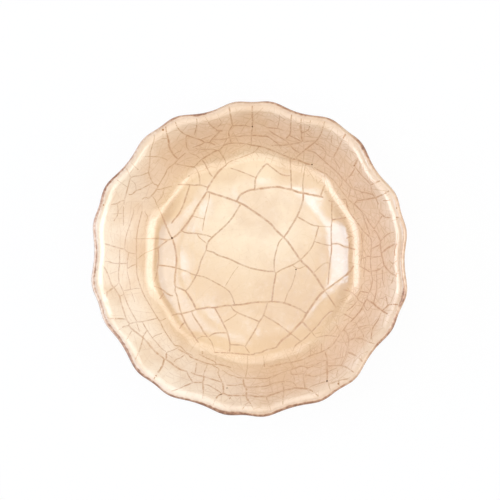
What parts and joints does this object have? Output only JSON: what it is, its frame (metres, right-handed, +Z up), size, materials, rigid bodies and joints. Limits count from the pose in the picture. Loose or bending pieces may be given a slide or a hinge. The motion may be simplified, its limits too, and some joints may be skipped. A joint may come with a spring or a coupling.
{
  "type": "soy sauce dish",
  "caption": "Small soy sauce dish with a shallow round well, a softly fluted wall, a turned-out bracket-lobed lip and a low foot ring, under a crackled cream glaze with a brown lip.",
  "frame": {"origin": "middle of the plane that the foot ring rests on", "axes": "+Z up along the dish's axis, out of the well; +X and +Y across the rim, with the middle of a lobe 16.5 degrees from +X"},
  "size_m": [0.0954, 0.0947, 0.021],
  "materials": {
    "clay": "fired buff stoneware",
    "bare_clay": "bare fired stoneware, matt",
    "crackle_glaze": "glossy crackled glaze",
    "brown_lip": "glossy, thin brown glaze"
  },
  "bodies": {
    "root": {"clay_body": "clay", "foot_ring": "bare_clay", "face_glaze": "crackle_glaze", "back_glaze": "crackle_glaze", "base_glaze": "crackle_glaze", "lip_dressing": "brown_lip"}
  },
  "joints": []
}
